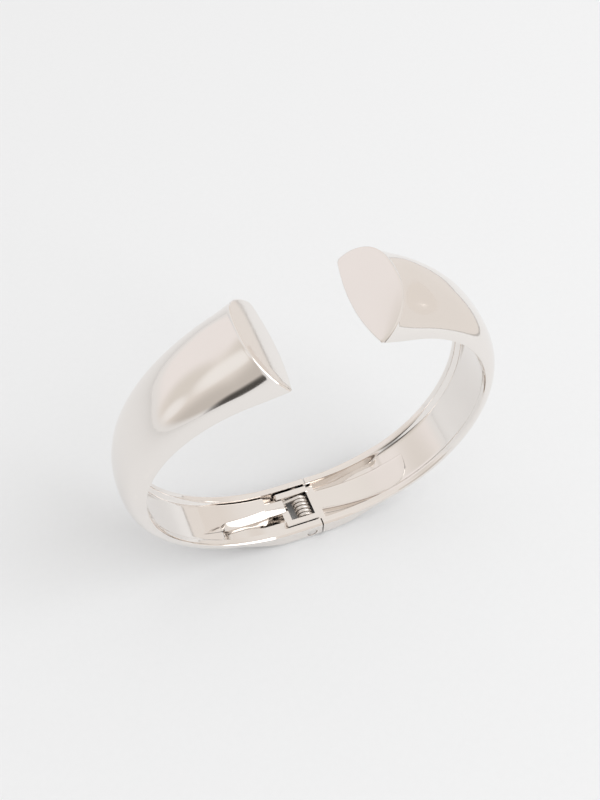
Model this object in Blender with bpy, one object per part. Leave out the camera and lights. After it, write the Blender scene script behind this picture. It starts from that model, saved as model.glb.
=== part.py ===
"""Open bangle bracelet with one sprung hinge, standing on its hinge with the wrist gap on top.

X runs across the oval, Y runs along the hinge pin and the width of the band, and Z is up.
The origin is on the resting surface, midway along the hinge pin and straight under it.
Each half is one casting, swept along half of an oval. The right half swings about the pin.
The two open ends stand slightly out of line: the left one towards -Y, the right one towards +Y.
"""

import math

import bmesh
import bpy
from mathutils import Vector

MM = 0.001

# The rim is the inner edge of the band. One half of it is a chain of straights and arcs,
# each a length and an angle turned through, from the hinge to the open end.
HINGE_FLAT = 3.6 * MM
BACK_RADIUS = 26.4 * MM
BACK_TURN = math.radians(102)
SIDE_RADIUS = 23.8 * MM
SIDE_TURN = math.radians(60)
END_RUN = 6.1 * MM
END_TURN = math.radians(-4.5)
RIM_CHAIN = (
    (HINGE_FLAT, 0.0),
    (BACK_RADIUS * BACK_TURN, BACK_TURN),
    (SIDE_RADIUS * SIDE_TURN, SIDE_TURN),
    (END_RUN, END_TURN),
)
RIM_LENGTH = sum(length for length, _ in RIM_CHAIN)

# The band's cross-section, from the hinge to the open end.
BACK_HEIGHT = 4.0 * MM
END_HEIGHT = 7.7 * MM
MID_HEIGHT = 3.4 * MM
THIN_STARTS = 8 * MM
THIN_LENGTH = 25 * MM
SWELL_STARTS = 20 * MM
SWELL_POWER = 4.25
BACK_HALF_WIDTH = 5.4 * MM
END_HALF_WIDTH = 9.05 * MM
WIDTH_POWER = 2.45
CORNER_RADIUS = 1.3 * MM
DOME_POWER = 2.45
DOME_STARTS = 4 * MM
DOME_ENDS = 14 * MM
LIP_WIDTH = 1.1 * MM
TROUGH_SLOPE = 0.9 * MM
TROUGH_DEPTH = 0.9 * MM
TROUGH_ENDS = 9 * MM
TROUGH_FADE = 7 * MM
INNER_BULGE = 1.5 * MM
BULGE_LENGTH = 9 * MM
FACE_SLANT = math.radians(20.4)
SLANT_LENGTH = 13 * MM
END_OFFSET = 1.9 * MM
OFFSET_STARTS = 8 * MM
OFFSET_EASE = 6 * MM
STATION_STEP = 2.6 * MM
OUTER_STEPS = 14

# The hinge. Depths are measured from the rim into the band.
PIN_HEIGHT = 2.0 * MM
PIN_RADIUS = 0.75 * MM
PIN_CLEARANCE = 0.05 * MM
PIN_HEAD_RADIUS = 0.95 * MM
PIN_HEAD_SUNK = 0.35 * MM
HEAD_CLEARANCE = 0.05 * MM
EAR_REACH = 1.95 * MM
EAR_ROUNDING = 2.0 * MM
EAR_INNER_FACE = 3.95 * MM
GAP_BACK = 2.4 * MM
RIGHT_START = 2.2 * MM
POCKET_DEPTH = 2.7 * MM
POCKET_FAR_DEPTH = 1.9 * MM
POCKET_SHALLOWS = (6.5 * MM, 11.5 * MM)
POCKET_LENGTH = 17.0 * MM
POCKET_RAMP = 3.0 * MM
SOLDER_GAP = 0.06 * MM
FORK_FACE = 3.65 * MM
FORK_INNER_FACE = 2.5 * MM
FORK_HUB_RADIUS = 1.85 * MM
FORK_TAIL = 4.5 * MM
TAIL_BOTTOM = 1.6 * MM
FORK_TOP = 3.7 * MM
WEB_START = 1.75 * MM
WEB_END = 3.3 * MM
FORK_LEAF_FRONT = -1.3 * MM
FORK_LEAF_BACK = 2.7 * MM
FORK_LEAF_FRONT_LEAN = -0.158
FORK_LEAF_BACK_LEAN = -0.065
FORK_LEAF_DEPTH = 0.95 * MM
LEAF_END = 15.0 * MM
TONGUE_START = 3.3 * MM
TONGUE_THICKNESS = 0.65 * MM
TONGUE_BACK = 2.35 * MM
BLOCK_START = 6.6 * MM
BLOCK_FRONT = -0.25 * MM
BLOCK_BACK = 3.8 * MM
BLOCK_LEAN = -0.165
BLOCK_LEANS_FROM = 7.0 * MM
BLOCK_DEPTH = 0.4 * MM
ROUND_STEPS = 24

# The torsion spring round the pin.
COIL_RADIUS = 1.25 * MM
WIRE_RADIUS = 0.33 * MM
COIL_TURNS = 5.25
COIL_HALF_LENGTH = 2.0 * MM
STEPS_PER_TURN = 14
WEB_LEG_LENGTH = 1.3 * MM
TONGUE_LEG_REACH = 6.0 * MM
TONGUE_LEG_TIP_HEIGHT = 2.0 * MM

SILVER = (0.83, 0.80, 0.77, 1.0)
SILVER_DARK = (0.62, 0.60, 0.58, 1.0)
STEEL = (0.60, 0.60, 0.60, 1.0)


def clear_scene():
    for obj in list(bpy.data.objects):
        bpy.data.objects.remove(obj)


def metal(name, colour, roughness):
    material = bpy.data.materials.new(name)
    material.use_nodes = True
    shader = material.node_tree.nodes["Principled BSDF"]
    shader.inputs["Base Color"].default_value = colour
    shader.inputs["Roughness"].default_value = roughness
    shader.inputs["Metallic"].default_value = 1.0
    return material


def smooth(value):
    """0 below 0, 1 above 1, and a smooth rise between."""
    value = min(max(value, 0.0), 1.0)
    return value * value * (3 - 2 * value)


def rim_at(s):
    """(x, z, angle) of the rim at a length s from the hinge's middle, on the right half."""
    x, z, angle = 0.0, BACK_HEIGHT, 0.0
    left = s
    for index, (length, turn) in enumerate(RIM_CHAIN):
        last = index == len(RIM_CHAIN) - 1
        run = left if last else min(left, length)
        if turn:
            radius = length / turn
            after = angle + run / radius
            x += radius * (math.sin(after) - math.sin(angle))
            z += radius * (math.cos(angle) - math.cos(after))
            angle = after
        else:
            x += run
        left -= run
        if left <= 0:
            break
    return x, z, angle


def outward_at(s):
    """The direction from the rim into the band, which leans over towards the end face."""
    angle = rim_at(s)[2]
    lean = FACE_SLANT * smooth(1 - (RIM_LENGTH - s) / SLANT_LENGTH)
    return math.sin(angle - lean), -math.cos(angle - lean)


def strayed(height):
    """How the band's sideways lean grows with the rim's height: slowly at first, then evenly."""
    rise = max(height - OFFSET_STARTS, 0.0)
    return rise * rise / (rise + OFFSET_EASE)


def offset_at(s):
    """How far the middle of the band is out of line at s: towards +Y on the right half."""
    return END_OFFSET * strayed(rim_at(s)[1]) / strayed(rim_at(RIM_LENGTH)[1])


def half_width(s):
    share = max(s, 0.0) / RIM_LENGTH
    return BACK_HALF_WIDTH + (END_HALF_WIDTH - BACK_HALF_WIDTH) * share**WIDTH_POWER


def band_height(s):
    middle = BACK_HEIGHT + (MID_HEIGHT - BACK_HEIGHT) * smooth((s - THIN_STARTS) / THIN_LENGTH)
    swell = max(s - SWELL_STARTS, 0.0) / (RIM_LENGTH - SWELL_STARTS)
    return middle + (END_HEIGHT - MID_HEIGHT) * swell**SWELL_POWER


def box_outline(turn, width, height):
    """A point of a flat-backed section with rounded corners, for turn from -90 to 90 degrees."""
    flat = width - CORNER_RADIUS
    wall = height - CORNER_RADIUS
    share = abs(turn) / (math.pi / 2)
    side = math.copysign(1, turn)
    if share < 0.4:
        return side * flat * share / 0.4, height
    if share < 0.8:
        arc = (share - 0.4) / 0.4 * math.pi / 2
        y = flat + CORNER_RADIUS * math.sin(arc)
        return side * y, wall + CORNER_RADIUS * math.cos(arc)
    return side * width, wall * (1 - share) / 0.2


def dome_outline(turn, width, height):
    y = abs(math.sin(turn)) ** (2 / DOME_POWER) * width
    return math.copysign(y, turn), max(math.cos(turn), 0.0) * height


def trough_at(s, y):
    """The depth of the band's inner side below the rim."""
    width = half_width(s)
    from_end = RIM_LENGTH - s
    depth = TROUGH_DEPTH * smooth((from_end - TROUGH_ENDS) / TROUGH_FADE)
    bulge = INNER_BULGE * smooth(1 - from_end / BULGE_LENGTH)
    slope = smooth((width - LIP_WIDTH - abs(y)) / TROUGH_SLOPE)
    return depth * slope - bulge * (1 - (y / width) ** 2)


def inner_places(width):
    """Where the points of the inner side lie, from +Y to -Y: close together on the slopes."""
    slope_top = width - LIP_WIDTH
    slope_foot = slope_top - TROUGH_SLOPE
    half = [slope_top, slope_top - TROUGH_SLOPE * 0.35, slope_top - TROUGH_SLOPE * 0.65]
    half += [slope_foot * (1 - step / 3) for step in range(3)]
    return half + [0.0] + [-y for y in reversed(half)]


def band_section(s):
    """The closed outline of the band at s, as (y, depth) pairs."""
    width = half_width(s)
    height = band_height(s)
    share = smooth((s - DOME_STARTS) / (DOME_ENDS - DOME_STARTS))
    outline = []
    for step in range(OUTER_STEPS + 1):
        turn = (step / OUTER_STEPS - 0.5) * math.pi
        box_y, box_depth = box_outline(turn, width, height)
        dome_y, dome_depth = dome_outline(turn, width, height)
        y = box_y + (dome_y - box_y) * share
        outline.append((y, box_depth + (dome_depth - box_depth) * share))
    outline += [(y, trough_at(s, y)) for y in inner_places(width)]
    return outline


def place(side, s, y, depth):
    """The point at a length, a width and a depth of the band. side is 1 right, -1 left."""
    x, z, _ = rim_at(s)
    out_x, out_z = outward_at(s)
    return Vector((side * (x + depth * out_x), y + side * offset_at(s), z + depth * out_z))


def loft(name, rings):
    """One closed mesh object through rings of points, with both ends capped."""
    shape = bmesh.new()
    loops = [[shape.verts.new(point) for point in ring] for ring in rings]
    for low, high in zip(loops, loops[1:]):
        for i in range(len(low)):
            j = (i + 1) % len(low)
            shape.faces.new((low[i], low[j], high[j], high[i]))
    shape.faces.new(list(reversed(loops[0])))
    shape.faces.new(loops[-1])
    bmesh.ops.recalc_face_normals(shape, faces=shape.faces)
    mesh = bpy.data.meshes.new(name)
    shape.to_mesh(mesh)
    shape.free()
    obj = bpy.data.objects.new(name, mesh)
    bpy.context.collection.objects.link(obj)
    return obj


def stations(start, end, step):
    count = max(1, round((end - start) / step))
    return [start + (end - start) * index / count for index in range(count + 1)]


def marks(start, end):
    """start, and then each whole millimetre up to end. Pieces that nest share these places."""
    first = math.floor(start / MM + 1e-6) + 1
    return [start] + [mark * MM for mark in range(first, round(end / MM) + 1)]


def swept_bar(name, side, lengths, faces, depths):
    """A bar of rectangular section along the band.

    At a length, faces gives (front, back) across the band, and depths gives (inner, outer).
    """
    rings = []
    for s in lengths:
        inner, outer = depths(s)
        front, back = faces(s)
        corners = ((front, outer), (back, outer), (back, inner), (front, inner))
        rings.append([place(side, s, y, depth) for y, depth in corners])
    return loft(name, rings)


def extruded(name, outline, y_low, y_high):
    """A plate with an outline of (x, z) pairs, between two places along Y."""
    rings = [[Vector((x, y, z)) for x, z in outline] for y in (y_low, y_high)]
    return loft(name, rings)


def disc(name, radius, y_low, y_high):
    turns = [math.tau * step / ROUND_STEPS for step in range(ROUND_STEPS)]
    outline = [(radius * math.cos(t), PIN_HEIGHT + radius * math.sin(t)) for t in turns]
    return extruded(name, outline, y_low, y_high)


def box(name, low, high):
    outline = ((low[0], low[2]), (high[0], low[2]), (high[0], high[2]), (low[0], high[2]))
    return extruded(name, outline, low[1], high[1])


def combine(obj, operation, other):
    """Joins other to obj, or cuts it away, and removes other."""
    modifier = obj.modifiers.new(operation.lower(), "BOOLEAN")
    modifier.operation = operation
    modifier.object = other
    modifier.solver = "EXACT"
    graph = bpy.context.evaluated_depsgraph_get()
    mesh = bpy.data.meshes.new_from_object(obj.evaluated_get(graph))
    obj.modifiers.clear()
    obj.data = mesh
    bpy.data.objects.remove(other)


def finished(obj, material, round_under=30):
    obj.data.materials.clear()
    obj.data.materials.append(material)
    obj.data.shade_smooth()
    obj.data.set_sharp_from_angle(angle=math.radians(round_under))
    return obj


def casting(name, side, start):
    lengths = stations(start, HINGE_FLAT, STATION_STEP)
    lengths += stations(HINGE_FLAT, RIM_LENGTH, STATION_STEP)[1:]
    rings = [[place(side, s, y, depth) for y, depth in band_section(s)] for s in lengths]
    return loft(name, rings)


def pocket_depths(s):
    """The hinge pocket: open above the rim, shallower away from the pin, and ramped up at its end."""
    near, far = POCKET_SHALLOWS
    depth = POCKET_DEPTH + (POCKET_FAR_DEPTH - POCKET_DEPTH) * smooth((s - near) / (far - near))
    ramp = smooth((POCKET_LENGTH - s) / POCKET_RAMP)
    return -1 * MM, TROUGH_DEPTH * 0.5 + (depth - TROUGH_DEPTH * 0.5) * ramp


def hinge_pocket(side, start):
    def walls(_):
        return -EAR_INNER_FACE, EAR_INNER_FACE

    lengths = marks(start, POCKET_LENGTH)
    return swept_bar("pocket_cutter", side, lengths, walls, pocket_depths)


def ear_corner():
    """What is cut from the ears' lower corners, so that the right half can swing past them."""
    far = 3 * MM
    turns = [-math.pi / 2 * step / 6 for step in range(7)]
    arc = [(EAR_ROUNDING * math.cos(t), PIN_HEIGHT + EAR_ROUNDING * math.sin(t)) for t in turns]
    outline = arc + [(0, -far), (far, -far), (far, PIN_HEIGHT)]
    return extruded("corner_cutter", outline, -2 * BACK_HALF_WIDTH, 2 * BACK_HALF_WIDTH)


def left_arm(material):
    arm = casting("left_arm", -1, -EAR_REACH)
    combine(arm, "DIFFERENCE", hinge_pocket(-1, -2 * EAR_REACH))
    low = (-GAP_BACK, -EAR_INNER_FACE, -1 * MM)
    combine(arm, "DIFFERENCE", box("gap_cutter", low, (3 * MM, EAR_INNER_FACE, 6 * MM)))
    combine(arm, "DIFFERENCE", ear_corner())
    bore = PIN_RADIUS + PIN_CLEARANCE
    combine(arm, "DIFFERENCE", disc("bore_cutter", bore, -2 * BACK_HALF_WIDTH, 2 * BACK_HALF_WIDTH))
    recess = PIN_HEAD_RADIUS + HEAD_CLEARANCE
    floor = BACK_HALF_WIDTH - PIN_HEAD_SUNK - HEAD_CLEARANCE
    combine(arm, "DIFFERENCE", disc("front_recess", recess, -2 * BACK_HALF_WIDTH, -floor))
    combine(arm, "DIFFERENCE", disc("back_recess", recess, floor, 2 * BACK_HALF_WIDTH))
    return finished(arm, material)


def right_arm(material):
    arm = casting("right_arm", 1, RIGHT_START)
    combine(arm, "DIFFERENCE", hinge_pocket(1, RIGHT_START - 1 * MM))
    return finished(arm, material)


def left_hinge_leaf(material):
    """The block soldered in the left pocket, with a thin tongue that the spring pushes up on."""

    def block_faces(s):
        return BLOCK_FRONT + BLOCK_LEAN * max(s - BLOCK_LEANS_FROM, 0.0), BLOCK_BACK

    def block_depths(s):
        return BLOCK_DEPTH, pocket_depths(s)[1] - SOLDER_GAP

    def tongue_faces(_):
        return BLOCK_FRONT, TONGUE_BACK

    def tongue_depths(_):
        return BLOCK_DEPTH, BLOCK_DEPTH + TONGUE_THICKNESS

    lengths = marks(BLOCK_START, LEAF_END)
    leaf = swept_bar("left_hinge_leaf", -1, lengths, block_faces, block_depths)
    overlap = 0.4 * MM
    narrow = marks(TONGUE_START, BLOCK_START + overlap)
    tongue = swept_bar("tongue", -1, narrow, tongue_faces, tongue_depths)
    combine(leaf, "UNION", tongue)
    return finished(leaf, material)


def fork_ear_outline():
    """One ear of the fork: a hub round the pin, with a tail that is the closed stop."""
    hub_low = PIN_HEIGHT - FORK_HUB_RADIUS
    tail_meets = math.asin((TAIL_BOTTOM - PIN_HEIGHT) / FORK_HUB_RADIUS)
    first = math.pi - tail_meets
    turns = [first + (math.pi * 1.5 - first) * step / 8 for step in range(9)]
    hub = [(FORK_HUB_RADIUS * math.cos(t), PIN_HEIGHT + FORK_HUB_RADIUS * math.sin(t)) for t in turns]
    tip = 0.4 * MM
    tail = [(-FORK_TAIL, FORK_TOP - tip), (-FORK_TAIL, TAIL_BOTTOM + tip), (-FORK_TAIL + tip, TAIL_BOTTOM)]
    right = [(WEB_START + 0.2 * MM, hub_low), (WEB_START + 0.2 * MM, FORK_TOP), (-FORK_TAIL + tip, FORK_TOP)]
    return tail + hub + right


def right_hinge_fork(material):
    """Two ears on the pin, a web between them and a leaf soldered in the right pocket."""
    outline = fork_ear_outline()
    fork = extruded("right_hinge_fork", outline, -FORK_FACE, -FORK_INNER_FACE)
    combine(fork, "UNION", extruded("back_ear", outline, FORK_INNER_FACE, FORK_FACE))
    hub_low = PIN_HEIGHT - FORK_HUB_RADIUS
    leaf_top = BACK_HEIGHT - FORK_LEAF_DEPTH
    web_right = RIGHT_START - SOLDER_GAP
    web = box("web", (WEB_START, -FORK_FACE, hub_low), (web_right, FORK_FACE, leaf_top))
    combine(fork, "UNION", web)

    def shelf_faces(_):
        return -FORK_FACE + 0.01 * MM, FORK_FACE - 0.01 * MM

    def leaf_faces(s):
        return FORK_LEAF_FRONT + FORK_LEAF_FRONT_LEAN * s, FORK_LEAF_BACK + FORK_LEAF_BACK_LEAN * s

    def depths(s):
        return FORK_LEAF_DEPTH, pocket_depths(s)[1] - SOLDER_GAP

    shelf_lengths = marks(WEB_START + 0.1 * MM, WEB_END)
    combine(fork, "UNION", swept_bar("shelf", 1, shelf_lengths, shelf_faces, depths))
    leaf_lengths = marks(WEB_END - 0.8 * MM, LEAF_END)
    combine(fork, "UNION", swept_bar("leaf", 1, leaf_lengths, leaf_faces, depths))
    bore = PIN_RADIUS + PIN_CLEARANCE
    combine(fork, "DIFFERENCE", disc("bore_cutter", bore, -2 * FORK_FACE, 2 * FORK_FACE))
    return finished(fork, material)


def hinge_pin(material):
    half = BACK_HALF_WIDTH
    head = half - PIN_HEAD_SUNK
    pin = disc("hinge_pin", PIN_RADIUS, -head - 0.1 * MM, head + 0.1 * MM)
    combine(pin, "UNION", disc("front_head", PIN_HEAD_RADIUS, -half, -head))
    combine(pin, "UNION", disc("back_head", PIN_HEAD_RADIUS, head, half))
    return finished(pin, material)


def coil_points():
    """The coil from the top of its back end to the right-hand side of its front end."""
    count = round(COIL_TURNS * STEPS_PER_TURN)
    points = []
    for step in range(count + 1):
        share = step / count
        turn = math.pi / 2 - math.tau * COIL_TURNS * share
        x = COIL_RADIUS * math.cos(turn)
        z = PIN_HEIGHT + COIL_RADIUS * math.sin(turn)
        points.append(Vector((x, COIL_HALF_LENGTH * (1 - 2 * share), z)))
    return points


def torsion_spring(material):
    """Its back leg pushes up under the left half's tongue and its front leg pushes on the web."""
    coil = coil_points()
    tongue_end = Vector((-TONGUE_LEG_REACH, COIL_HALF_LENGTH, TONGUE_LEG_TIP_HEIGHT))
    web_end = coil[-1] + Vector((0, 0, -WEB_LEG_LENGTH))
    points = [tongue_end] + coil + [web_end]
    curve = bpy.data.curves.new("torsion_spring", "CURVE")
    curve.dimensions = "3D"
    curve.bevel_depth = WIRE_RADIUS
    curve.bevel_resolution = 1
    curve.use_fill_caps = True
    spline = curve.splines.new("POLY")
    spline.points.add(len(points) - 1)
    for knot, point in zip(spline.points, points):
        knot.co = (*point, 1.0)
    spring = bpy.data.objects.new("torsion_spring", curve)
    bpy.context.collection.objects.link(spring)
    curve.materials.append(material)
    return spring


def hinge_axis():
    """An empty on the joint's axis, which carries the half that swings."""
    axis = bpy.data.objects.new("right_half_swings_here", None)
    axis.location = (0, 0, PIN_HEIGHT)
    bpy.context.collection.objects.link(axis)
    return axis


def main():
    clear_scene()
    plated = metal("plated_silver", SILVER, 0.12)
    hinge_metal = metal("hinge_silver", SILVER_DARK, 0.2)
    spring_steel = metal("spring_steel", STEEL, 0.25)
    left_arm(plated)
    left_hinge_leaf(plated)
    hinge_pin(hinge_metal)
    torsion_spring(spring_steel)
    axis = hinge_axis()
    bpy.context.view_layer.update()
    for moving in (right_arm(plated), right_hinge_fork(plated)):
        moving.parent = axis
        moving.matrix_parent_inverse = axis.matrix_world.inverted()


main()
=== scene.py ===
"""Looks of an open sprung bangle in polished silver-tone plating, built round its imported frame.

Metres throughout, in the frame's own axes: X across the oval, Y along the hinge pin, Z up.
The band of each half is swept along the rim, which is the inner edge of the band. A place on
a half is (side, s, y, depth): side 1 is the half that swings, s is the length along the rim
from the middle of the hinge, y is across the band and depth goes from the rim into the band.
"""

import math

import bmesh
import bpy
from mathutils import Matrix, Vector


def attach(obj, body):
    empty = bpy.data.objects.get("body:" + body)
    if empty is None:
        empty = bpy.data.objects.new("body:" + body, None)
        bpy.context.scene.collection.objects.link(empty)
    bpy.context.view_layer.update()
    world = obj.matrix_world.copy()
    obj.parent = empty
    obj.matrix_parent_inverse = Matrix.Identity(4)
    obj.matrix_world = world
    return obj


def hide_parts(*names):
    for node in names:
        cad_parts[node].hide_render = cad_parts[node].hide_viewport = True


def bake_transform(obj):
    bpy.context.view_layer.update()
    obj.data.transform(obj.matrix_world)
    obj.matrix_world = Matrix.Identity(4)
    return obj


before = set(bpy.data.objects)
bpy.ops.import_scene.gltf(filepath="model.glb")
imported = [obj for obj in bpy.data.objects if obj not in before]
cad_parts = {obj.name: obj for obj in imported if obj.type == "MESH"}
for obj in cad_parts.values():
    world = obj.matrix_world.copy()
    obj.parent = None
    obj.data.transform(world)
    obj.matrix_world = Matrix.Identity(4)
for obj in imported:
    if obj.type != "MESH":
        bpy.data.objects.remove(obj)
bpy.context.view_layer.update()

MM = 0.001

# The rim and the band's section, as in the CAD source.
HINGE_FLAT = 3.6 * MM
BACK_RADIUS = 26.4 * MM
BACK_TURN = math.radians(102)
SIDE_RADIUS = 23.8 * MM
SIDE_TURN = math.radians(60)
END_RUN = 6.1 * MM
END_TURN = math.radians(-4.5)
RIM_CHAIN = (
    (HINGE_FLAT, 0.0),
    (BACK_RADIUS * BACK_TURN, BACK_TURN),
    (SIDE_RADIUS * SIDE_TURN, SIDE_TURN),
    (END_RUN, END_TURN),
)
RIM_LENGTH = sum(length for length, _ in RIM_CHAIN)
BACK_HEIGHT = 4.0 * MM
MID_HEIGHT = 3.4 * MM
END_HEIGHT = 7.7 * MM
THIN_STARTS = 8 * MM
THIN_LENGTH = 25 * MM
SWELL_STARTS = 20 * MM
SWELL_POWER = 4.25
BACK_HALF_WIDTH = 5.4 * MM
END_HALF_WIDTH = 9.05 * MM
WIDTH_POWER = 2.45
CORNER_RADIUS = 1.3 * MM
DOME_POWER = 2.45
DOME_STARTS = 4 * MM
DOME_ENDS = 14 * MM
LIP_WIDTH = 1.1 * MM
TROUGH_SLOPE = 0.9 * MM
TROUGH_DEPTH = 0.9 * MM
TROUGH_ENDS = 9 * MM
TROUGH_FADE = 7 * MM
INNER_BULGE = 1.5 * MM
BULGE_LENGTH = 9 * MM
FACE_SLANT = math.radians(20.4)
SLANT_LENGTH = 13 * MM
END_OFFSET = 1.9 * MM
OFFSET_STARTS = 8 * MM
OFFSET_EASE = 6 * MM

# The hinge, as in the CAD source.
PIN_HEIGHT = 2.0 * MM
PIN_RADIUS = 0.75 * MM
PIN_CLEARANCE = 0.05 * MM
PIN_HEAD_RADIUS = 0.95 * MM
PIN_HEAD_SUNK = 0.35 * MM
HEAD_CLEARANCE = 0.05 * MM
EAR_REACH = 1.95 * MM
EAR_ROUNDING = 2.0 * MM
EAR_INNER_FACE = 3.95 * MM
GAP_BACK = 2.4 * MM
RIGHT_START = 2.2 * MM
POCKET_DEPTH = 2.7 * MM
POCKET_FAR_DEPTH = 1.9 * MM
POCKET_SHALLOWS = (6.5 * MM, 11.5 * MM)
POCKET_LENGTH = 17.0 * MM
POCKET_RAMP = 3.0 * MM
FORK_FACE = 3.65 * MM
FORK_INNER_FACE = 2.5 * MM
FORK_HUB_RADIUS = 1.85 * MM
FORK_TAIL = 4.5 * MM
TAIL_BOTTOM = 1.6 * MM
FORK_TOP = 3.7 * MM
WEB_START = 1.75 * MM
WEB_GAP = 0.06 * MM
WEB_END = 3.3 * MM
FORK_LEAF_FRONT = -1.3 * MM
FORK_LEAF_BACK = 2.7 * MM
FORK_LEAF_FRONT_LEAN = -0.158
FORK_LEAF_BACK_LEAN = -0.065
FORK_LEAF_DEPTH = 0.95 * MM
TONGUE_START = 3.3 * MM
TONGUE_THICKNESS = 0.65 * MM
TONGUE_BACK = 2.35 * MM
BLOCK_START = 6.6 * MM
BLOCK_FRONT = -0.25 * MM
BLOCK_BACK = 3.8 * MM
BLOCK_LEAN = -0.165
BLOCK_LEANS_FROM = 7.0 * MM
BLOCK_DEPTH = 0.4 * MM
COIL_RADIUS = 1.25 * MM
WIRE_RADIUS = 0.33 * MM
COIL_TURNS = 5.25
COIL_HALF_LENGTH = 2.0 * MM
WEB_LEG_LENGTH = 1.3 * MM
TONGUE_LEG_REACH = 6.0 * MM
TONGUE_LEG_TIP_HEIGHT = 2.0 * MM

# Fineness of the visual surfaces.
ARM_STEP = 0.55 * MM
OUTER_STEPS = 56
EDGE_ROUND = 0.3 * MM
EDGE_STEPS = 4
FACE_ROUND = 0.3 * MM
FACE_STEPS = 5
NEAR_EDGE_TURN = 0.14
POCKET_EDGE = 0.13 * MM
POCKET_WALL_RUNS_ON = 1.5 * MM
POCKET_WALL_RAMP = POCKET_RAMP + 2 * MM
LIP_STEPS = 4
SLOPE_STEPS = 8
FLOOR_STEPS = 10
BAR_STEP = 0.3 * MM
CORNER_STEPS = 8
FLAT_STEPS = 8
ROUND_STEPS = 64
WIRE_SIDES = 14
STEPS_PER_TURN = 36
TONGUE_LEG_STEPS = 12
WEB_LEG_STEPS = 4

# Where the flat back and the rounded corner end in the box outline, as shares of a quarter turn.
BACK_ENDS = 0.4
CORNER_ENDS = 0.8

# The camera looks at the wrist gap from the front left and from above.
CAMERA_AZIMUTH = math.radians(23.97)
CAMERA_ELEVATION = math.radians(53.27)
CAMERA_ROLL = math.radians(3.47)
CAMERA_DISTANCE = 0.2125
CAMERA_ASIDE = -0.0003
CAMERA_UP = 0.0217
CAMERA_LENS = 50.5

# The tent round the bangle. Each patch is an azimuth from the front, positive to the right, an
# elevation, the radius of its even middle and the radius where it has faded out, all in degrees,
# and a colour. Later patches lie over earlier ones.
TENT_CLOTH = (0.82, 0.77, 0.725)
TENT_PATCHES = (
    (0, 90, 25, 60, (0.86, 0.83, 0.80)),
    (-146, 15, 18, 44, (0.92, 0.88, 0.87)),
    (-106, 24, 5, 22, (0.75, 0.71, 0.665)),
    (160, 48, 14, 40, (0.89, 0.86, 0.83)),
    (-46, 8, 10, 42, (0.60, 0.56, 0.52)),
    (-92, 14, 2, 13, (0.92, 0.90, 0.885)),
    (-90, 42, 4, 19, (0.94, 0.92, 0.90)),
)
# The narrow dark gap in the cloth, which lies over the foot too.
TENT_GAP = (-25, 5, 1, 15, (0.08, 0.075, 0.07))

# Near its foot the cloth takes up the floor's own light, between these two sines of elevation.
TENT_FOOT = (0.0, 0.15)
TENT_FOOT_COLOUR = (0.84, 0.835, 0.83)


def smooth(value):
    """0 below 0, 1 above 1, and a smooth rise between."""
    value = min(max(value, 0.0), 1.0)
    return value * value * (3 - 2 * value)


def rim_at(s):
    """(x, z, angle) of the rim at a length s from the hinge's middle, on the right half."""
    x, z, angle = 0.0, BACK_HEIGHT, 0.0
    left = s
    for index, (length, turn) in enumerate(RIM_CHAIN):
        last = index == len(RIM_CHAIN) - 1
        run = left if last else min(left, length)
        if turn:
            radius = length / turn
            after = angle + run / radius
            x += radius * (math.sin(after) - math.sin(angle))
            z += radius * (math.cos(angle) - math.cos(after))
            angle = after
        else:
            x += run
        left -= run
        if left <= 0:
            break
    return x, z, angle


def outward_at(s):
    """The direction from the rim into the band, which leans over towards the end face."""
    angle = rim_at(s)[2]
    lean = FACE_SLANT * smooth(1 - (RIM_LENGTH - s) / SLANT_LENGTH)
    return math.sin(angle - lean), -math.cos(angle - lean)


def strayed(height):
    """How the band's sideways lean grows with the rim's height: slowly at first, then evenly."""
    rise = max(height - OFFSET_STARTS, 0.0)
    return rise * rise / (rise + OFFSET_EASE)


def offset_at(s):
    """How far the middle of the band is out of line at s: towards +Y on the right half."""
    return END_OFFSET * strayed(rim_at(s)[1]) / strayed(rim_at(RIM_LENGTH)[1])


def half_width(s):
    """Half of the band's width at s."""
    share = max(s, 0.0) / RIM_LENGTH
    return BACK_HALF_WIDTH + (END_HALF_WIDTH - BACK_HALF_WIDTH) * share**WIDTH_POWER


def band_height(s):
    """How deep the band is at s, from the rim to its outer side."""
    middle = BACK_HEIGHT + (MID_HEIGHT - BACK_HEIGHT) * smooth((s - THIN_STARTS) / THIN_LENGTH)
    swell = max(s - SWELL_STARTS, 0.0) / (RIM_LENGTH - SWELL_STARTS)
    return middle + (END_HEIGHT - MID_HEIGHT) * swell**SWELL_POWER


def place(side, s, y, depth):
    """The point in the frame at a place on one half."""
    x, z, _ = rim_at(s)
    out_x, out_z = outward_at(s)
    return Vector((side * (x + depth * out_x), y + side * offset_at(s), z + depth * out_z))


def box_outline(turn, width, height):
    """A point of a flat-backed section with rounded corners, for turn from -90 to 90 degrees."""
    flat = width - CORNER_RADIUS
    wall = height - CORNER_RADIUS
    share = abs(turn) / (math.pi / 2)
    side = math.copysign(1, turn)
    if share < BACK_ENDS:
        return side * flat * share / BACK_ENDS, height
    if share < CORNER_ENDS:
        arc = (share - BACK_ENDS) / (CORNER_ENDS - BACK_ENDS) * math.pi / 2
        return side * (flat + CORNER_RADIUS * math.sin(arc)), wall + CORNER_RADIUS * math.cos(arc)
    return side * width, wall * (1 - share) / (1 - CORNER_ENDS)


def dome_outline(turn, width, height):
    """A point of a domed section, for turn from -90 to 90 degrees."""
    y = abs(math.sin(turn)) ** (2 / DOME_POWER) * width
    return math.copysign(y, turn), max(math.cos(turn), 0.0) * height


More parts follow.
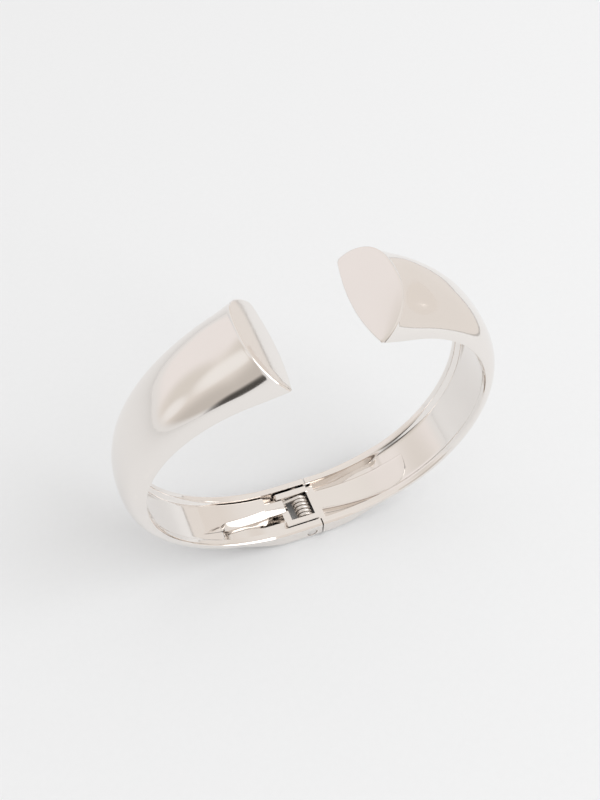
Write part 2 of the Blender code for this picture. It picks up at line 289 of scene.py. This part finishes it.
def outer_point(s, turn):
    """A point of the band's outer side at s, with its edges rounded where they meet the rim."""
    width, height = half_width(s), band_height(s)
    box_y, box_depth = box_outline(turn, width, height)
    dome_y, dome_depth = dome_outline(turn, width, height)
    share = smooth((s - DOME_STARTS) / (DOME_ENDS - DOME_STARTS))
    y = box_y + (dome_y - box_y) * share
    depth = box_depth + (dome_depth - box_depth) * share
    short = max(EDGE_ROUND - depth, 0.0)
    inward = EDGE_ROUND - math.sqrt(max(EDGE_ROUND**2 - short**2, 0.0))
    return y - math.copysign(inward, turn), depth


def pocket_share(s):
    """1 in the hinge pocket and 0 in the plain trough, where the inner side changes over."""
    return smooth((POCKET_LENGTH + POCKET_WALL_RUNS_ON - s) / POCKET_WALL_RAMP)


def inner_floor(s):
    """The depth of the pocket's floor near the hinge, and of the trough's floor further on."""
    near, far = POCKET_SHALLOWS
    pocket = POCKET_DEPTH + (POCKET_FAR_DEPTH - POCKET_DEPTH) * smooth((s - near) / (far - near))
    trough = TROUGH_DEPTH * smooth((RIM_LENGTH - s - TROUGH_ENDS) / TROUGH_FADE)
    return trough + (pocket - trough) * smooth((POCKET_LENGTH - s) / POCKET_RAMP)


def inner_wall(s):
    """(place of the slope's middle across the band, half the slope's width) on the inner side."""
    share = pocket_share(s)
    trough_middle = half_width(s) - LIP_WIDTH - TROUGH_SLOPE / 2
    middle = trough_middle + (EAR_INNER_FACE - trough_middle) * share
    return middle, TROUGH_SLOPE / 2 + (POCKET_EDGE - TROUGH_SLOPE / 2) * share


def inner_depth(s, y):
    """The depth of the band's inner side at s and y."""
    width = half_width(s)
    middle, half = inner_wall(s)
    bulge = INNER_BULGE * smooth(1 - (RIM_LENGTH - s) / BULGE_LENGTH)
    slope = smooth((middle + half - abs(y)) / (2 * half))
    return inner_floor(s) * slope - bulge * (1 - (y / width) ** 2)


def inner_places(s):
    """Where the inner side's points lie, from +Y to -Y: close together on the slopes."""
    lip_top = half_width(s) - EDGE_ROUND
    middle, half = inner_wall(s)
    top, foot = middle + half, middle - half
    places = [lip_top + (top - lip_top) * step / LIP_STEPS for step in range(LIP_STEPS)]
    places += [top + (foot - top) * step / SLOPE_STEPS for step in range(SLOPE_STEPS + 1)]
    places += [foot * (1 - step / FLOOR_STEPS) for step in range(1, FLOOR_STEPS)]
    return places + [0.0] + [-y for y in reversed(places)]


def outer_turns():
    """Turns from the front edge to the back edge, close together where the edges are rounded."""
    fine = [NEAR_EDGE_TURN * step / EDGE_STEPS for step in range(EDGE_STEPS)]
    low, high = -math.pi / 2 + NEAR_EDGE_TURN, math.pi / 2 - NEAR_EDGE_TURN
    middle = [low + (high - low) * step / OUTER_STEPS for step in range(OUTER_STEPS + 1)]
    return [-math.pi / 2 + t for t in fine] + middle + [math.pi / 2 - t for t in reversed(fine)]


TURNS = outer_turns()


def band_section(s):
    """The closed outline of the band at s, as (y, depth) pairs."""
    outer = [outer_point(s, turn) for turn in TURNS]
    return outer + [(y, inner_depth(s, y)) for y in inner_places(s)]


def face_sections():
    """The last rings of the band, which round the edge of the end face. Each is (s, outline)."""
    outline = band_section(RIM_LENGTH)
    middle = (END_HEIGHT - INNER_BULGE) / 2
    half = (END_HEIGHT + INNER_BULGE) / 2
    more_at_points = 1.4
    rings = []
    for step in range(1, FACE_STEPS + 1):
        turn = step / FACE_STEPS * math.pi / 2
        inset = FACE_ROUND * (1 - math.cos(turn))
        narrow = 1 - more_at_points * inset / END_HALF_WIDTH
        flat = 1 - inset / half
        s = RIM_LENGTH - FACE_ROUND * (1 - math.sin(turn))
        rings.append((s, [(y * narrow, middle + (d - middle) * flat) for y, d in outline]))
    return rings


def loft(name, rings):
    """One closed mesh object through rings of points, with both ends capped."""
    shape = bmesh.new()
    loops = [[shape.verts.new(point) for point in ring] for ring in rings]
    for low, high in zip(loops, loops[1:]):
        for i in range(len(low)):
            j = (i + 1) % len(low)
            shape.faces.new((low[i], low[j], high[j], high[i]))
    shape.faces.new(list(reversed(loops[0])))
    shape.faces.new(loops[-1])
    bmesh.ops.recalc_face_normals(shape, faces=shape.faces)
    mesh = bpy.data.meshes.new(name)
    shape.to_mesh(mesh)
    shape.free()
    obj = bpy.data.objects.new(name, mesh)
    bpy.context.collection.objects.link(obj)
    return obj


def stations(start, end, step):
    """Evenly spaced lengths from start to end, about a step apart."""
    count = max(1, round((end - start) / step))
    return [start + (end - start) * index / count for index in range(count + 1)]


def extruded(name, outline, y_low, y_high):
    """A plate with an outline of (x, z) pairs, between two places along Y."""
    return loft(name, [[Vector((x, y, z)) for x, z in outline] for y in (y_low, y_high)])


def disc(name, radius, y_low, y_high):
    """A round plate about the pin's axis."""
    turns = [math.tau * step / ROUND_STEPS for step in range(ROUND_STEPS)]
    outline = [(radius * math.cos(t), PIN_HEIGHT + radius * math.sin(t)) for t in turns]
    return extruded(name, outline, y_low, y_high)


def box(name, low, high):
    """A block between two opposite corners."""
    outline = ((low[0], low[2]), (high[0], low[2]), (high[0], high[2]), (low[0], high[2]))
    return extruded(name, outline, low[1], high[1])


def applied(obj):
    """Turns obj's modifiers into its mesh."""
    graph = bpy.context.evaluated_depsgraph_get()
    mesh = bpy.data.meshes.new_from_object(obj.evaluated_get(graph))
    obj.modifiers.clear()
    obj.data = mesh


def combine(obj, operation, other):
    """Joins other to obj, or cuts it away, and removes other."""
    modifier = obj.modifiers.new(operation.lower(), "BOOLEAN")
    modifier.operation = operation
    modifier.object = other
    modifier.solver = "EXACT"
    applied(obj)
    bpy.data.objects.remove(other)


def soften(obj, width):
    """Rounds the edges that turn by more than 30 degrees."""
    modifier = obj.modifiers.new("soften", "BEVEL")
    modifier.width = width
    modifier.segments = 3
    modifier.limit_method = "ANGLE"
    modifier.angle_limit = math.radians(30)
    modifier.harden_normals = False
    applied(obj)


def finished(obj, body, nodes, material, sharp_over=40):
    """Puts obj's material in a slot, gives it smooth shading and its body, and hides the CAD nodes
    that it stands for.
    """
    obj.data.materials.clear()
    obj.data.materials.append(material)
    obj.data.shade_smooth()
    obj.data.set_sharp_from_angle(angle=math.radians(sharp_over))
    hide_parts(*nodes)
    if body:
        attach(obj, body)
    return obj


# Pieces


def casting(name, side, start):
    """One half of the band, from a length near the hinge to its end face."""
    lengths = stations(start, RIM_LENGTH - FACE_ROUND, ARM_STEP)
    rings = [[place(side, s, y, depth) for y, depth in band_section(s)] for s in lengths]
    rings += [[place(side, s, y, d) for y, d in outline] for s, outline in face_sections()]
    return loft(name, rings)


def ear_corner():
    """What is cut from the ears' lower corners, so that the right half can swing past them."""
    far = 3 * MM
    arc_steps = 16
    turns = [-math.pi / 2 * step / arc_steps for step in range(arc_steps + 1)]
    arc = [(EAR_ROUNDING * math.cos(t), PIN_HEIGHT + EAR_ROUNDING * math.sin(t)) for t in turns]
    outline = arc + [(0, -far), (far, -far), (far, PIN_HEIGHT)]
    return extruded("corner_cutter", outline, -2 * BACK_HALF_WIDTH, 2 * BACK_HALF_WIDTH)


def left_arm(material):
    """The half that stays still, with the gap between its ears, its bore and the heads' recesses."""
    arm = casting("left_arm_casting", -1, -EAR_REACH)
    low = (-GAP_BACK, -EAR_INNER_FACE, -1 * MM)
    high = (3 * MM, EAR_INNER_FACE, 6 * MM)
    combine(arm, "DIFFERENCE", box("gap_cutter", low, high))
    combine(arm, "DIFFERENCE", ear_corner())
    past = 2 * BACK_HALF_WIDTH
    bore = PIN_RADIUS + PIN_CLEARANCE
    combine(arm, "DIFFERENCE", disc("bore_cutter", bore, -past, past))
    recess = PIN_HEAD_RADIUS + HEAD_CLEARANCE
    floor = BACK_HALF_WIDTH - PIN_HEAD_SUNK - HEAD_CLEARANCE
    combine(arm, "DIFFERENCE", disc("front_recess", recess, -past, -floor))
    combine(arm, "DIFFERENCE", disc("back_recess", recess, floor, past))
    return finished(arm, "left_half", ["left_arm"], material)


def right_arm(material):
    """The half that swings."""
    arm = casting("right_arm_casting", 1, RIGHT_START)
    return finished(arm, "right_half", ["right_arm"], material)


def rounded_bar(name, side, lengths, profile, front_power=1.0):
    """A bar along the band, with rounded inner edges. A front power near 2 makes a flat bevel.

    profile(s) gives (front, back, inner depth, outer depth, front rounding, back rounding), and
    each rounding is (how far it reaches across the bar, how deep it goes).
    """
    rings = []
    for s in lengths:
        front, back, inner, outer, front_round, back_round = profile(s)
        ring = [(front, outer), (back, outer)]
        for step in range(CORNER_STEPS + 1):
            turn = step / CORNER_STEPS * math.pi / 2
            y = back - back_round[0] * (1 - math.cos(turn))
            ring.append((y, inner + back_round[1] * (1 - math.sin(turn))))
        flat_from, flat_to = back - back_round[0], front + front_round[0]
        for step in range(1, FLAT_STEPS):
            ring.append((flat_from + (flat_to - flat_from) * step / FLAT_STEPS, inner))
        for step in range(CORNER_STEPS + 1):
            turn = (1 - step / CORNER_STEPS) * math.pi / 2
            y = front + front_round[0] * (1 - abs(math.cos(turn)) ** front_power)
            ring.append((y, inner + front_round[1] * (1 - math.sin(turn) ** front_power)))
        rings.append([place(side, s, y, depth) for y, depth in ring])
    return loft(name, rings)


def left_hinge_leaf(material):
    """The block in the left pocket, which sinks into the trough further on, and its thin tongue."""
    bevel_across, bevel_deep = 1.4 * MM, 0.85 * MM
    bevel_power = 1.7
    back_round = 0.25 * MM
    sinks_from, end = 16.0 * MM, 23.0 * MM
    sunk_depth = TROUGH_DEPTH + 0.04 * MM
    thinnest = 0.12 * MM
    back_draws_in = 0.3 * MM
    overlap = 0.4 * MM

    def block(s):
        sunk = smooth((s - sinks_from) / (end - sinks_from))
        inner = BLOCK_DEPTH + (sunk_depth - BLOCK_DEPTH) * sunk
        outer = max(inner_floor(s) - WEB_GAP, inner + thinnest)
        front = BLOCK_FRONT + BLOCK_LEAN * max(s - BLOCK_LEANS_FROM, 0.0)
        back = BLOCK_BACK - back_draws_in * sunk
        deep = min(bevel_deep, (outer - inner) * 0.9)
        bevel = (bevel_across * (0.4 + 0.6 * deep / bevel_deep), deep)
        return front, back, inner, outer, bevel, (back_round, min(back_round, deep))

    def tongue(_):
        outer = BLOCK_DEPTH + TONGUE_THICKNESS
        bevel = (bevel_across * 0.8, TONGUE_THICKNESS * 0.9)
        return BLOCK_FRONT, TONGUE_BACK, BLOCK_DEPTH, outer, bevel, (back_round, back_round)

    lengths = stations(BLOCK_START, end, BAR_STEP)
    leaf = rounded_bar("left_hinge_block", -1, lengths, block, bevel_power)
    narrow = stations(TONGUE_START, BLOCK_START + overlap, BAR_STEP)
    combine(leaf, "UNION", rounded_bar("tongue", -1, narrow, tongue, bevel_power))
    return finished(leaf, "left_half", ["left_hinge_leaf"], material, 50)


def fork_ear_outline():
    """One ear of the fork: a hub round the pin, with a tail that is the closed stop."""
    hub_low = PIN_HEIGHT - FORK_HUB_RADIUS
    first = math.pi - math.asin((TAIL_BOTTOM - PIN_HEIGHT) / FORK_HUB_RADIUS)
    hub_steps = 20
    hub = []
    for step in range(hub_steps + 1):
        turn = first + (math.pi * 1.5 - first) * step / hub_steps
        x = FORK_HUB_RADIUS * math.cos(turn)
        hub.append((x, PIN_HEIGHT + FORK_HUB_RADIUS * math.sin(turn)))
    tip = 0.4 * MM
    right = WEB_START + 0.2 * MM
    tail = [(-FORK_TAIL, FORK_TOP - tip), (-FORK_TAIL, TAIL_BOTTOM + tip)]
    tail.append((-FORK_TAIL + tip, TAIL_BOTTOM))
    return tail + hub + [(right, hub_low), (right, FORK_TOP), (-FORK_TAIL + tip, FORK_TOP)]


def right_hinge_fork(material):
    """Two ears on the pin, a web between them and a leaf in the right pocket."""
    outline = fork_ear_outline()
    fork = extruded("right_hinge_fork_leaf", outline, -FORK_FACE, -FORK_INNER_FACE)
    combine(fork, "UNION", extruded("back_ear", outline, FORK_INNER_FACE, FORK_FACE))
    web_low = (WEB_START, -FORK_FACE, PIN_HEIGHT - FORK_HUB_RADIUS)
    web_high = (RIGHT_START - WEB_GAP, FORK_FACE, BACK_HEIGHT - FORK_LEAF_DEPTH)
    combine(fork, "UNION", box("web", web_low, web_high))
    inset = 0.01 * MM

    def shelf(s):
        bottom = inner_floor(s) - WEB_GAP
        face = FORK_FACE - inset
        return -face, face, FORK_LEAF_DEPTH, bottom, (inset, inset), (inset, inset)

    shelf_lengths = stations(WEB_START + 0.1 * MM, WEB_END, BAR_STEP)
    combine(fork, "UNION", rounded_bar("shelf", 1, shelf_lengths, shelf))
    bore = PIN_RADIUS + PIN_CLEARANCE
    combine(fork, "DIFFERENCE", disc("bore_cutter", bore, -2 * FORK_FACE, 2 * FORK_FACE))
    soften(fork, 0.08 * MM)
    end = 20.8 * MM
    edge = 0.35 * MM
    rises_from, rise_length, rises_by = 13.0 * MM, 4 * MM, 0.17 * MM
    thinnest = 0.2 * MM
    nose_length, nose_share = 5.0 * MM, 0.8

    def leaf(s):
        inner = FORK_LEAF_DEPTH - rises_by * smooth((s - rises_from) / rise_length)
        bottom = max(inner_floor(s) - WEB_GAP, inner + thinnest)
        front = FORK_LEAF_FRONT + FORK_LEAF_FRONT_LEAN * s
        back = FORK_LEAF_BACK + FORK_LEAF_BACK_LEAN * s
        share = max(s - end + nose_length, 0.0) / nose_length
        rounded = 1 - math.sqrt(max(1 - share**2, 0.0))
        front += (back - front) * nose_share * rounded
        deep = min(edge, (bottom - inner) * 0.9)
        return front, back, inner, bottom, (edge, deep), (edge, deep)

    leaf_lengths = stations(WEB_END - 0.8 * MM, end, BAR_STEP)
    combine(fork, "UNION", rounded_bar("leaf", 1, leaf_lengths, leaf))
    return finished(fork, "right_half", ["right_hinge_fork"], material)


def hinge_pin(material):
    """A turned pin with a peened dome on each head."""
    dome = 0.12 * MM
    end = -BACK_HALF_WIDTH
    under_head = end + PIN_HEAD_SUNK
    # Each step of the dome is (share of the head's radius, height from the end in domes).
    dome_steps = ((0.0, 0.0), (0.45, 0.12), (0.8, 0.5), (1.0, 1.6))
    profile = [(PIN_HEAD_RADIUS * share, end + dome * rise) for share, rise in dome_steps]
    profile += [(PIN_HEAD_RADIUS, under_head), (PIN_RADIUS, under_head)]
    profile += [(radius, -y) for radius, y in reversed(profile)]
    turns = [math.tau * step / ROUND_STEPS for step in range(ROUND_STEPS)]
    shape = bmesh.new()
    rings = []
    for radius, y in profile:
        used = turns if radius > 0 else turns[:1]
        points = [(radius * math.cos(t), y, PIN_HEIGHT + radius * math.sin(t)) for t in used]
        rings.append([shape.verts.new(point) for point in points])
    for low, high in zip(rings, rings[1:]):
        for i in range(ROUND_STEPS):
            j = (i + 1) % ROUND_STEPS
            corners = [low[i % len(low)], low[j % len(low)]]
            corners += [high[j % len(high)], high[i % len(high)]]
            shape.faces.new(list(dict.fromkeys(corners)))
    bmesh.ops.recalc_face_normals(shape, faces=shape.faces)
    mesh = bpy.data.meshes.new("hinge_pin_peened")
    shape.to_mesh(mesh)
    shape.free()
    pin = bpy.data.objects.new("hinge_pin_peened", mesh)
    bpy.context.collection.objects.link(pin)
    return finished(pin, "left_half", ["hinge_pin"], material)


def coil_points():
    """The spring's centre line, from the tip under the tongue to the tip on the web."""
    count = round(COIL_TURNS * STEPS_PER_TURN)
    coil = []
    for step in range(count + 1):
        share = step / count
        turn = math.pi / 2 - math.tau * COIL_TURNS * share
        x = COIL_RADIUS * math.cos(turn)
        z = PIN_HEIGHT + COIL_RADIUS * math.sin(turn)
        coil.append(Vector((x, COIL_HALF_LENGTH * (1 - 2 * share), z)))
    tongue_end = Vector((-TONGUE_LEG_REACH, COIL_HALF_LENGTH, TONGUE_LEG_TIP_HEIGHT))
    shares = [step / TONGUE_LEG_STEPS for step in range(TONGUE_LEG_STEPS)]
    tongue_leg = [tongue_end.lerp(coil[0], share) for share in shares]
    drops = [-WEB_LEG_LENGTH * step / WEB_LEG_STEPS for step in range(1, WEB_LEG_STEPS + 1)]
    web_leg = [coil[-1] + Vector((0, 0, drop)) for drop in drops]
    return tongue_leg + coil + web_leg


def torsion_spring(material):
    """The wire, swept along its centre line with level rings."""
    points = coil_points()
    rings = []
    for index, point in enumerate(points):
        ahead = points[min(index + 1, len(points) - 1)]
        behind = points[max(index - 1, 0)]
        along = (ahead - behind).normalized()
        across = along.cross(Vector((0, 1, 0))).normalized()
        up = across.cross(along)
        ring = []
        for step in range(WIRE_SIDES):
            turn = math.tau * step / WIRE_SIDES
            ring.append(point + (across * math.cos(turn) + up * math.sin(turn)) * WIRE_RADIUS)
        rings.append(ring)
    spring = loft("torsion_spring_wire", rings)
    finished(spring, None, ["torsion_spring"], material)
    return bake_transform(spring)


# Materials


def new_node(tree, kind, **values):
    """A new node with some of its properties set."""
    node = tree.nodes.new(kind)
    for key, value in values.items():
        setattr(node, key, value)
    return node


def noise(tree, coordinates, scale, detail=3.0, stretch=(1, 1, 1)):
    """A noise value from 0 to 1, on coordinates stretched along each axis."""
    mapping = new_node(tree, "ShaderNodeMapping")
    mapping.inputs["Scale"].default_value = stretch
    tree.links.new(coordinates, mapping.inputs["Vector"])
    texture = new_node(tree, "ShaderNodeTexNoise")
    texture.inputs["Scale"].default_value = scale
    texture.inputs["Detail"].default_value = detail
    tree.links.new(mapping.outputs["Vector"], texture.inputs["Vector"])
    return texture.outputs["Fac"]


def ranged(tree, value, low, high, to_low, to_high):
    """A value moved from one range to another, and held at its ends."""
    node = new_node(tree, "ShaderNodeMapRange")
    node.inputs["From Min"].default_value = low
    node.inputs["From Max"].default_value = high
    node.inputs["To Min"].default_value = to_low
    node.inputs["To Max"].default_value = to_high
    tree.links.new(value, node.inputs["Value"])
    return node.outputs["Result"]


def summed(tree, first, second):
    """The sum of two values."""
    node = new_node(tree, "ShaderNodeMath", operation="ADD")
    tree.links.new(first, node.inputs[0])
    tree.links.new(second, node.inputs[1])
    return node.outputs["Value"]


def polished_metal(name, light, dark, roughness, spread, scratch_stretch, bump_height):
    """A polished metal with faint clouding, fine wiping marks and a painted highlight that makes
    sharp edges a little lighter.
    """
    cloud_scale, wiping_scale, ripple_scale = 90.0, 700.0, 160.0
    cloud_low, cloud_high = 0.3, 0.7
    material = bpy.data.materials.new(name)
    material.use_nodes = True
    tree = material.node_tree
    shader = tree.nodes["Principled BSDF"]
    shader.inputs["Metallic"].default_value = 1.0
    place_node = new_node(tree, "ShaderNodeTexCoord").outputs["Object"]
    cloud = noise(tree, place_node, cloud_scale)
    wiping = noise(tree, place_node, wiping_scale, 4.0, scratch_stretch)
    ripple = noise(tree, place_node, ripple_scale, 1.0)

    tone = new_node(tree, "ShaderNodeMix", data_type="RGBA")
    tone.inputs["A"].default_value = (*dark, 1.0)
    tone.inputs["B"].default_value = (*light, 1.0)
    # Painted highlight: sharp convex edges get a lighter base colour, so they shine brighter.
    edge_pointiness = new_node(tree, "ShaderNodeNewGeometry").outputs["Pointiness"]
    edge_highlight = ranged(tree, edge_pointiness, 0.52, 0.62, 0.0, 0.5)
    clouding = ranged(tree, cloud, cloud_low, cloud_high, 0.35, 0.75)
    tree.links.new(summed(tree, clouding, edge_highlight), tone.inputs["Factor"])
    tree.links.new(tone.outputs["Result"], shader.inputs["Base Color"])

    rough = ranged(tree, cloud, cloud_low, cloud_high, roughness - spread, roughness + spread)
    streaks = ranged(tree, wiping, 0.55, 0.8, 0.0, spread * 1.5)
    tree.links.new(summed(tree, rough, streaks), shader.inputs["Roughness"])

    bump = new_node(tree, "ShaderNodeBump")
    bump.inputs["Strength"].default_value = 0.5
    bump.inputs["Distance"].default_value = bump_height
    scratches = ranged(tree, wiping, 0.5, 0.8, 0.0, 0.12)
    tree.links.new(summed(tree, ripple, scratches), bump.inputs["Height"])
    tree.links.new(bump.outputs["Normal"], shader.inputs["Normal"])
    return material


def floor_material():
    """Pale paper, very slightly cool, with a fine grain."""
    grain_scale = 900.0
    material = bpy.data.materials.new("pale_paper")
    material.use_nodes = True
    tree = material.node_tree
    shader = tree.nodes["Principled BSDF"]
    shader.inputs["Roughness"].default_value = 0.9
    shader.inputs["Specular IOR Level"].default_value = 0.1
    grain = noise(tree, new_node(tree, "ShaderNodeTexCoord").outputs["Object"], grain_scale)
    mix = new_node(tree, "ShaderNodeMix", data_type="RGBA")
    mix.inputs["A"].default_value = (0.825, 0.855, 0.885, 1.0)
    mix.inputs["B"].default_value = (0.845, 0.875, 0.905, 1.0)
    tree.links.new(grain, mix.inputs["Factor"])
    tree.links.new(mix.outputs["Result"], shader.inputs["Base Color"])
    return material


# Floor, light and camera


def staged_plane(name, corners, material):
    """One flat face of the set, which isn't part of the bangle."""
    mesh = bpy.data.meshes.new(name)
    mesh.from_pydata(corners, [], [(0, 1, 2, 3)])
    mesh.materials.append(material)
    plane = bpy.data.objects.new(name, mesh)
    bpy.context.collection.objects.link(plane)
    return plane


def add_floor():
    size = 1.5
    corners = [(-size, -size, 0), (size, -size, 0), (size, size, 0), (-size, size, 0)]
    staged_plane("floor", corners, floor_material())


def add_panel(name, seat, target, width, height, power):
    """A soft light panel that faces target."""
    data = bpy.data.lights.new(name, "AREA")
    data.shape = "RECTANGLE"
    data.size, data.size_y = width, height
    data.energy = power
    light = bpy.data.objects.new(name, data)
    bpy.context.collection.objects.link(light)
    light.location = seat
    light.rotation_euler = (target - seat).to_track_quat("-Z", "Y").to_euler()
    light.visible_camera = False


def compass(azimuth, elevation):
    """The direction at an azimuth from the front, positive to the right, and an elevation."""
    azimuth, elevation = math.radians(azimuth), math.radians(elevation)
    level = math.cos(elevation)
    return math.sin(azimuth) * level, -math.cos(azimuth) * level, math.sin(elevation)


def patched(tree, direction, colour, patch):
    """The colour with one round patch over it, faded at its edge."""
    azimuth, elevation, inner, outer, tint = patch
    dot = new_node(tree, "ShaderNodeVectorMath", operation="DOT_PRODUCT")
    dot.inputs[1].default_value = compass(azimuth, elevation)
    tree.links.new(direction, dot.inputs[0])
    fade = new_node(tree, "ShaderNodeMapRange", interpolation_type="SMOOTHSTEP")
    fade.inputs["From Min"].default_value = math.cos(math.radians(outer))
    fade.inputs["From Max"].default_value = math.cos(math.radians(inner))
    tree.links.new(dot.outputs["Value"], fade.inputs["Value"])
    mix = new_node(tree, "ShaderNodeMix", data_type="RGBA")
    mix.inputs["A"].default_value = (*TENT_CLOTH, 1.0)
    mix.inputs["B"].default_value = (*tint, 1.0)
    if colour is not None:
        tree.links.new(colour, mix.inputs["A"])
    tree.links.new(fade.outputs["Result"], mix.inputs["Factor"])
    return mix.outputs["Result"]


def add_world():
    """A tent of pale cloth, warm at the sides, which fades to the floor's light at its foot."""
    world = bpy.data.worlds.new("studio")
    bpy.context.scene.world = world
    world.use_nodes = True
    tree = world.node_tree
    direction = new_node(tree, "ShaderNodeTexCoord").outputs["Generated"]
    colour = None
    for patch in TENT_PATCHES:
        colour = patched(tree, direction, colour, patch)
    height = new_node(tree, "ShaderNodeSeparateXYZ")
    tree.links.new(direction, height.inputs["Vector"])
    rise = new_node(tree, "ShaderNodeMapRange", interpolation_type="SMOOTHSTEP")
    rise.inputs["From Min"].default_value = TENT_FOOT[0]
    rise.inputs["From Max"].default_value = TENT_FOOT[1]
    tree.links.new(height.outputs["Z"], rise.inputs["Value"])
    foot = new_node(tree, "ShaderNodeMix", data_type="RGBA")
    foot.inputs["A"].default_value = (*TENT_FOOT_COLOUR, 1.0)
    tree.links.new(rise.outputs["Result"], foot.inputs["Factor"])
    tree.links.new(colour, foot.inputs["B"])
    colour = patched(tree, direction, foot.outputs["Result"], TENT_GAP)
    tree.links.new(colour, tree.nodes["Background"].inputs["Color"])


def add_lights():
    """One large soft panel, high on the front right."""
    azimuth, elevation, away = 56, 44, 1.2
    width, height, power = 1.1, 1.05, 5.6
    middle = Vector((0, 0, 0.03))
    add_panel("key", Vector(compass(azimuth, elevation)) * away, middle, width, height, power)


def card_material(name, colour):
    """A card that gives an even light of its own."""
    material = bpy.data.materials.new(name)
    material.use_nodes = True
    shader = material.node_tree.nodes["Principled BSDF"]
    shader.inputs["Base Color"].default_value = (0, 0, 0, 1)
    shader.inputs["Emission Color"].default_value = (*colour, 1)
    shader.inputs["Emission Strength"].default_value = 1.0
    return material


def add_card():
    """A low warm card on the right with a dark foot, which shows only in reflections."""
    away, reach, top, foot = 0.14, 0.25, 0.075, 0.003
    warm, dark = (0.81, 0.77, 0.735), (0.35, 0.33, 0.31)
    for name, low, high, colour in (("card", foot, top, warm), ("card_foot", 0.0, foot, dark)):
        corners = [(away, -reach, low), (away, reach, low), (away, reach, high), (away, -reach, high)]
        card = staged_plane(name, corners, card_material(name, colour))
        card.visible_camera = False
        card.visible_shadow = False
        card.visible_diffuse = False


def add_camera():
    """The camera, set by its direction, roll and distance, and how far it stands aside and up."""
    azimuth, elevation, roll = CAMERA_AZIMUTH, CAMERA_ELEVATION, CAMERA_ROLL
    level = math.cos(elevation)
    towards = Vector((-math.sin(azimuth) * level, -math.cos(azimuth) * level, math.sin(elevation)))
    right = Vector((math.cos(azimuth), -math.sin(azimuth), 0))
    up = towards.cross(right)
    turned_right = right * math.cos(roll) + up * math.sin(roll)
    turned_up = up * math.cos(roll) - right * math.sin(roll)
    data = bpy.data.cameras.new("camera")
    data.lens = CAMERA_LENS
    data.clip_start = 10 * MM
    camera = bpy.data.objects.new("camera", data)
    bpy.context.collection.objects.link(camera)
    turn = Matrix((turned_right, turned_up, towards)).transposed().to_4x4()
    seat = towards * CAMERA_DISTANCE + turned_right * CAMERA_ASIDE + turned_up * CAMERA_UP
    camera.matrix_world = Matrix.Translation(seat) @ turn
    bpy.context.scene.camera = camera


plating = polished_metal(
    "plated_silver", (0.89, 0.85, 0.815), (0.855, 0.82, 0.79), 0.085, 0.015, (1, 6, 1), 0.000004
)
pin_metal = polished_metal(
    "pin_steel", (0.80, 0.775, 0.75), (0.70, 0.675, 0.65), 0.22, 0.05, (6, 6, 1), 0.00001
)
wire_metal = polished_metal(
    "spring_steel", (0.82, 0.79, 0.76), (0.72, 0.69, 0.66), 0.28, 0.06, (1, 8, 1), 0.00001
)
left_arm(plating)
right_arm(plating)
left_hinge_leaf(plating)
right_hinge_fork(plating)
hinge_pin(pin_metal)
torsion_spring(wire_metal)
add_floor()
add_world()
add_lights()
add_card()
add_camera()
bpy.context.scene.view_settings.view_transform = "Standard"
